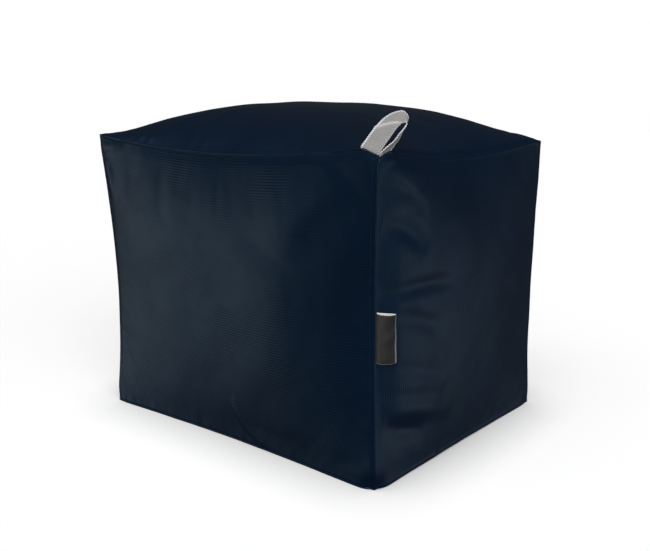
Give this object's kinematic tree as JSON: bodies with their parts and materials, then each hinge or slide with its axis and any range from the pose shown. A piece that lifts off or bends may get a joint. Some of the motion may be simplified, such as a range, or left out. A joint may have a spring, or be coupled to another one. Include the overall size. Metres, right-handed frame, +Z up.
{
  "type": "outdoor pouf",
  "caption": "Box-shaped outdoor floor pouf: one bead-filled fabric body with a domed lid, a flat strap carry loop at a lid corner and a folded blank side label.",
  "frame": {"origin": "middle of the underside, on the surface the pouf stands on", "axes": "+Z up, +X along the longer side, +Y along the shorter side away from the front panel; the carry loop is at the corner towards +X and -Y"},
  "size_m": [0.5194, 0.4085, 0.4552],
  "materials": {
    "cover_cloth": "dark navy coated outdoor fabric, closely woven, with a soft satin sheen",
    "strap_webbing": "warm light grey strap of doubled cloth, matt, top-stitched along both edges",
    "label_tape": "dark grey woven tape with pale edges, semi-matt, blank"
  },
  "bodies": {
    "root": {"pouf_body": "cover_cloth", "carry_loop": "strap_webbing", "side_label": "label_tape"}
  },
  "joints": []
}
